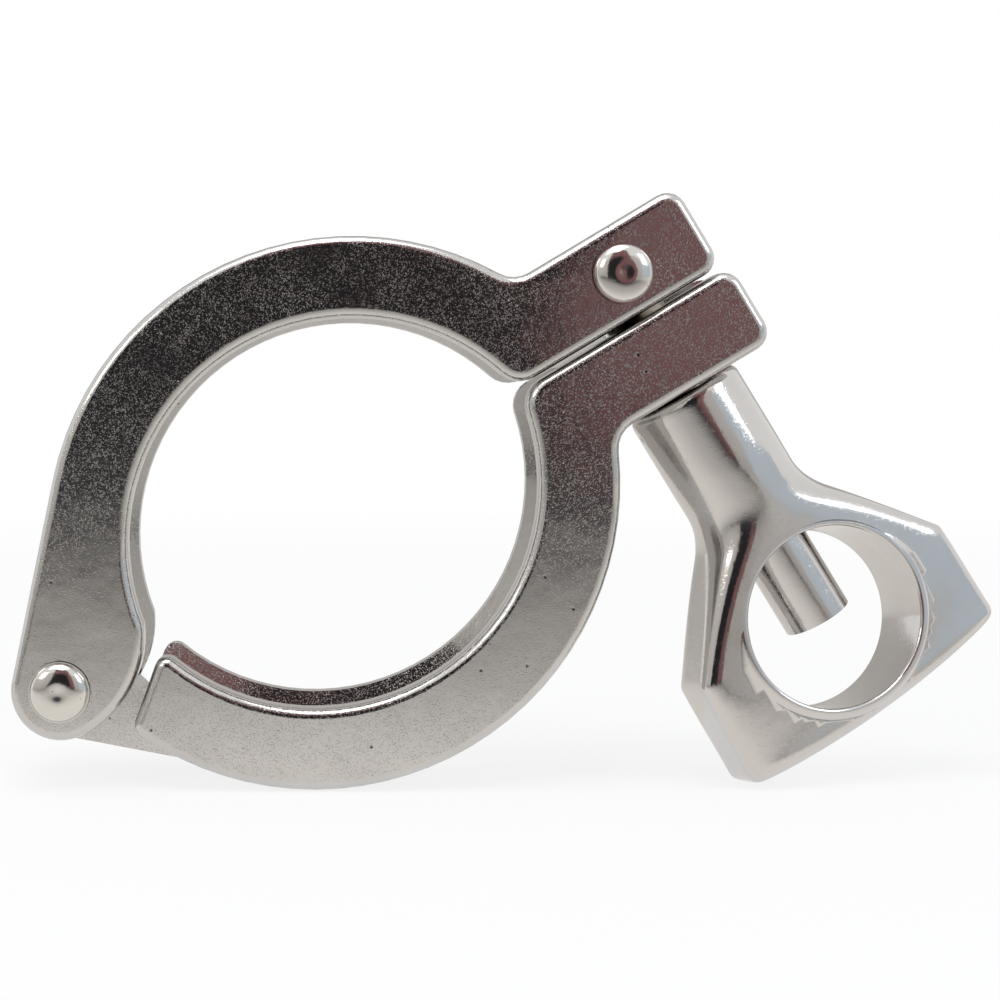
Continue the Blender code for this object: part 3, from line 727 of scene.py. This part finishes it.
def collar_mesh(nut):
    """The raised ring that lines the finger hole, with rounded rims."""
    low, high = nut.hole_radius, nut.hole_radius + nut.collar_width
    half = nut.collar_thickness / 2
    inner, outer = 0.45 * MM, 1.0 * MM
    corners = [(low, 0), (low, half), (high, half), (high, 0)]
    corners = [Vector((r, z, 0)) for r, z in corners]
    upper = rounded_path(corners, (inner, outer), 6)
    lower = [Vector((knot.x, -knot.y, 0)) for knot in reversed(upper[1:-1])]
    return turned_mesh("nut_collar", [(knot.x, knot.y) for knot in upper + lower], 128, True)


class CLAMP_OT_nut(bpy.types.Operator):
    """Make the wing nut: a round neck that blends into two flat wings around a finger hole."""

    bl_idname = "clamp.nut"
    bl_label = "Wing nut"

    def execute(self, context):
        steel = context.scene.clamp_steel
        nut = context.scene.clamp_nut
        skin = steel_material(
            name="nut_steel",
            base=steel.nut_colour,
            dark=(0.3, 0.28, 0.25),
            roughness=steel.nut_roughness,
            relief=0.04 * MM,
            grain=1.2 * steel.grain_size,
            grain_height=0.5,
            pits=3 * steel.pit_spacing,
            pit_amount=0.06,
            ripple=steel.ripple_size,
        )
        collection = context.scene.collection
        piece = bpy.data.objects.new("wing_nut_casting", nut_loft(nut))
        stretch = Matrix.Diagonal((nut.hole_half / nut.hole_radius, 1, 1, 1))
        across = Matrix.Translation((0, 0, -nut.hole_depth)) @ stretch @ Matrix.Rotation(math.pi / 2, 4, "X")
        middle = nut.hole_radius + nut.collar_width / 2
        hole_half, bore = 12 * MM, nut.bore_radius
        hole = turned_mesh(
            "nut_hole", [(0, -hole_half), (middle, -hole_half), (middle, hole_half), (0, hole_half)], 128, False
        )
        rod = turned_mesh(
            "nut_bore", [(0, -nut.hole_depth), (bore, -nut.hole_depth), (bore, 5 * MM), (0, 5 * MM)], 64, False
        )
        collar = collar_mesh(nut)
        hole.transform(across)
        collar.transform(across)
        cutters = []
        for mesh, operation in ((hole, "DIFFERENCE"), (collar, "UNION"), (rod, "DIFFERENCE")):
            cutter = bpy.data.objects.new(mesh.name, mesh)
            collection.objects.link(cutter)
            change = piece.modifiers.new(mesh.name, "BOOLEAN")
            change.object = cutter
            change.operation = operation
            change.solver = "EXACT"
            cutters.append(cutter)
        collection.objects.link(piece)
        graph = context.evaluated_depsgraph_get()
        done = bpy.data.meshes.new_from_object(piece.evaluated_get(graph))
        piece.modifiers.clear()
        piece.data = done
        for cutter in cutters:
            bpy.data.objects.remove(cutter, do_unlink=True)
        up = -BOLT_DOWN
        side = Vector((0, 1, 0)).cross(up)
        frame_axes = Matrix((side, (0, 1, 0), up)).transposed().to_4x4()
        place = Matrix.Translation(BOLT_PIN + nut.face_depth * BOLT_DOWN)
        done.transform(place @ frame_axes @ Matrix.Rotation(nut.turn, 4, "Z"))
        done.materials.clear()
        done.materials.append(skin)
        done.shade_smooth()
        shade_as_blended(piece, 0.5 * MM, math.radians(40))
        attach(piece, frame["nodes"]["wing_nut"]["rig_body"])
        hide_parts("wing_nut")
        return {"FINISHED"}


def background_world(world):
    """White to the camera and in reflections. It lights everything else as a soft grey room."""
    world.use_nodes = True
    tree = world.node_tree
    tree.nodes.clear()
    sheet = NodeSheet(tree)
    path = sheet.add("ShaderNodeLightPath")
    seen = sheet.math("MAXIMUM", path.outputs["Is Camera Ray"], path.outputs["Is Glossy Ray"])
    seen = sheet.math("MAXIMUM", seen, path.outputs["Is Transmission Ray"])
    room = sheet.add("ShaderNodeBackground", Color=(0.8, 0.82, 0.85, 1), Strength=0.7)
    white = sheet.add("ShaderNodeBackground", Color=(1, 1, 1, 1), Strength=1.0)
    mix = sheet.add("ShaderNodeMixShader")
    sheet.link(seen, mix.inputs[0])
    sheet.link(room.outputs[0], mix.inputs[1])
    sheet.link(white.outputs[0], mix.inputs[2])
    out = sheet.add("ShaderNodeOutputWorld")
    sheet.link(mix.outputs[0], out.inputs["Surface"])


def plain_material(name, tone, roughness):
    material = bpy.data.materials.new(name)
    material.use_nodes = True
    shader = material.node_tree.nodes["Principled BSDF"]
    shader.inputs["Base Color"].default_value = (*tone, 1)
    shader.inputs["Roughness"].default_value = roughness
    shader.inputs["Specular IOR Level"].default_value = 0.0
    return material


def white_floor(name, tone):
    """A floor that fades to white away from the object and keeps its shadow."""
    material = plain_material(name, tone, 1.0)
    sheet = NodeSheet(material.node_tree)
    shader = material.node_tree.nodes["Principled BSDF"]
    out = material.node_tree.nodes["Material Output"]
    path = sheet.add("ShaderNodeLightPath")
    seen = sheet.math("MAXIMUM", path.outputs["Is Camera Ray"], path.outputs["Is Glossy Ray"])
    seen = sheet.math("MAXIMUM", seen, path.outputs["Is Transmission Ray"])
    distance = sheet.add("ShaderNodeVectorMath", operation="LENGTH")
    sheet.link(sheet.add("ShaderNodeTexCoord").outputs["Object"], distance.inputs[0])
    share = sheet.spread(distance.outputs["Value"], 0.08, 0.6, 0.8, 1.0)
    glow = sheet.add("ShaderNodeEmission", Color=(1, 1, 1, 1), Strength=1.0)
    mix = sheet.add("ShaderNodeMixShader")
    sheet.link(sheet.math("MULTIPLY", seen, share), mix.inputs[0])
    sheet.link(shader.outputs[0], mix.inputs[1])
    sheet.link(glow.outputs[0], mix.inputs[2])
    sheet.link(mix.outputs[0], out.inputs["Surface"])
    return material


def mirrored_card(name, stops, band=None, band_stops=None):
    """A card that only the steel mirrors. Its tones change along its height.

    band is a second tone that takes over from one share of its width to another.
    """
    material = bpy.data.materials.new(name)
    material.use_nodes = True
    tree = material.node_tree
    tree.nodes.clear()
    sheet = NodeSheet(tree)
    split = sheet.add("ShaderNodeSeparateXYZ")
    sheet.link(sheet.add("ShaderNodeTexCoord").outputs["Generated"], split.inputs[0])
    tone = sheet.ramp(split.outputs["Y"], stops)
    if band:
        other = sheet.ramp(split.outputs["Y"], band_stops)
        tone = sheet.tint(sheet.spread(split.outputs["X"], *band), tone, other)
    glow = sheet.add("ShaderNodeEmission", Strength=1.0)
    sheet.link(tone, glow.inputs["Color"])
    out = sheet.add("ShaderNodeOutputMaterial")
    sheet.link(glow.outputs[0], out.inputs["Surface"])
    return material


def stage_plane(name, size, place, turn, material, mirrored_only=False):
    shape = bmesh.new()
    bmesh.ops.create_grid(shape, x_segments=1, y_segments=1, size=0.5)
    bmesh.ops.scale(shape, vec=(size[0], size[1], 1), verts=shape.verts)
    mesh = bpy.data.meshes.new(name)
    shape.to_mesh(mesh)
    shape.free()
    mesh.materials.append(material)
    plane = bpy.data.objects.new(name, mesh)
    bpy.context.scene.collection.objects.link(plane)
    plane.location = place
    plane.rotation_euler = turn
    if mirrored_only:
        plane.visible_camera = plane.visible_diffuse = plane.visible_shadow = False
    return plane


def soft_lamp(name, place, target, size, power, tone):
    light = bpy.data.lights.new(name, "AREA")
    light.shape = "RECTANGLE"
    light.size, light.size_y = size
    light.energy = power
    light.color = tone
    lamp = bpy.data.objects.new(name, light)
    bpy.context.scene.collection.objects.link(lamp)
    lamp.location = place
    lamp.rotation_euler = (Vector(target) - Vector(place)).to_track_quat("-Z", "Y").to_euler()
    return lamp


class CLAMP_OT_stage(bpy.types.Operator):
    """Set up the floor, the backdrop cards, the lights and the camera."""

    bl_idname = "clamp.stage"
    bl_label = "Stage"

    def execute(self, context):
        stage = context.scene.clamp_stage
        context.scene.view_settings.view_transform = "Standard"
        context.scene.world = bpy.data.worlds.new("room")
        background_world(context.scene.world)
        floor = white_floor("pale_floor", stage.floor_colour)
        stage_plane("floor", (6, 6), (0, 0, -0.1 * MM), (0, 0, 0), floor)
        table, room, brown = Vector(stage.table_tone), Vector(stage.room_tone), Vector(stage.brown_tone)
        dusk = 3 * room
        near_table = [(0.0, dusk), (0.5, 0.27 * table), (0.86, 0.66 * table), (0.97, table)]
        room_wall = [(0.0, dusk), (0.035, 1.4 * room), (0.09, room), (0.4, room), (0.55, brown)]
        brown_wall = [(0.0, dusk), (0.03, 0.6 * brown), (0.07, brown), (1.0, brown)]
        wall = mirrored_card("dim_room", room_wall, (0.68, 0.76), brown_wall)
        screen = mirrored_card("grey_screen", [(0.0, 0.62 * table), (0.5, 0.5 * table), (1.0, 0.4 * table)])
        bright_table = [(0.0, 0.6 * table), (0.9, 0.92 * table)]
        fronts = wall, mirrored_card("table_front", near_table, (0.7, 0.78), bright_table)
        backs = screen, mirrored_card("table_back", [(0.0, 0.62 * table), (1.0, 0.9 * table)])
        for side, name in ((-1, "front"), (1, "back")):
            around = 0 if side < 0 else math.pi
            turn = (math.pi / 2, 0, around)
            upright, level = fronts if side < 0 else backs
            width, middle_x = (0.48, -0.02) if side < 0 else (0.95, 0)
            stage_plane(name + "_room", (width, 0.9), (middle_x, side * 0.6, 0.45), turn, upright, True)
            stage_plane(name + "_table", (1.1, 0.59), (0, side * 0.305, 0), (0, 0, around), level, True)
        warm_side = mirrored_card("warm_side", [(0.0, 0.5 * table), (0.3, 0.62 * table), (1.0, 0.7 * table)])
        stage_plane("left_side", (0.24, 0.5), (-0.38, -0.61, 0.25), (math.pi / 2, 0, 0), warm_side, True)
        stage_plane("right_side", (0.28, 0.5), (0.36, -0.61, 0.25), (math.pi / 2, 0, 0), warm_side, True)
        cool = mirrored_card("cool_screen", [(0.0, 0.6 * table), (0.15, stage.window_tone), (1.0, stage.window_tone)])
        for side, name in ((-1, "left"), (1, "right")):
            turn = (math.pi / 2, 0, side * math.radians(57))
            tones = warm_side if side < 0 else cool
            stage_plane(name + "_screen", (0.6, 0.3), (side * 0.64, -0.35, 0.15), turn, tones, True)
        middle = (0, 0, 0.03)
        power = stage.soft_light
        soft_lamp("top_light", (-0.1, -0.15, 0.7), middle, (0.5, 0.5), power, (1, 1, 1))
        soft_lamp("left_light", (-0.6, -0.45, 0.35), middle, (0.25, 0.4), power * 0.6, (1, 0.96, 0.86))
        soft_lamp("right_light", (0.6, -0.4, 0.4), middle, (0.25, 0.45), power * 0.7, (0.88, 0.94, 1))
        data = bpy.data.cameras.new("camera")
        data.sensor_width = 36
        data.lens = stage.focal_length
        data.shift_x, data.shift_y = stage.camera_shift
        camera = bpy.data.objects.new("camera", data)
        context.scene.collection.objects.link(camera)
        camera.location = stage.camera_place
        camera.rotation_euler = (math.pi / 2, 0, 0)
        context.scene.camera = camera
        return {"FINISHED"}


class CLAMP_PT_panel(bpy.types.Panel):
    """Buttons and values of the clamp's looks."""

    bl_idname = "CLAMP_PT_panel"
    bl_label = "Sanitary clamp"
    bl_space_type = "VIEW_3D"
    bl_region_type = "UI"
    bl_category = "Clamp"

    def draw(self, context):
        for title in GROUPS:
            group = getattr(context.scene, title)
            box = self.layout.box()
            for name in group.bl_rna.properties.keys():
                if name not in ("rna_type", "name"):
                    box.prop(group, name)
        for operator in STEPS:
            self.layout.operator(operator.bl_idname)


STEPS = (CLAMP_OT_skins, CLAMP_OT_jaws, CLAMP_OT_rivets, CLAMP_OT_bolt, CLAMP_OT_nut, CLAMP_OT_stage)
GROUPS = {
    "clamp_steel": ClampSteel,
    "clamp_thread": ClampThread,
    "clamp_nut": ClampNut,
    "clamp_stage": ClampStage,
}


def register():
    for kind in (*GROUPS.values(), *STEPS, CLAMP_PT_panel):
        bpy.utils.register_class(kind)
    for name, kind in GROUPS.items():
        setattr(bpy.types.Scene, name, PointerProperty(type=kind))


def unregister():
    for name in GROUPS:
        delattr(bpy.types.Scene, name)
    for kind in (CLAMP_PT_panel, *reversed(STEPS), *GROUPS.values()):
        bpy.utils.unregister_class(kind)


def main():
    register()
    bpy.ops.clamp.skins()
    bpy.ops.clamp.jaws()
    bpy.ops.clamp.rivets()
    bpy.ops.clamp.bolt()
    bpy.ops.clamp.nut()
    bpy.ops.clamp.stage()


if __name__ == "__main__":
    main()
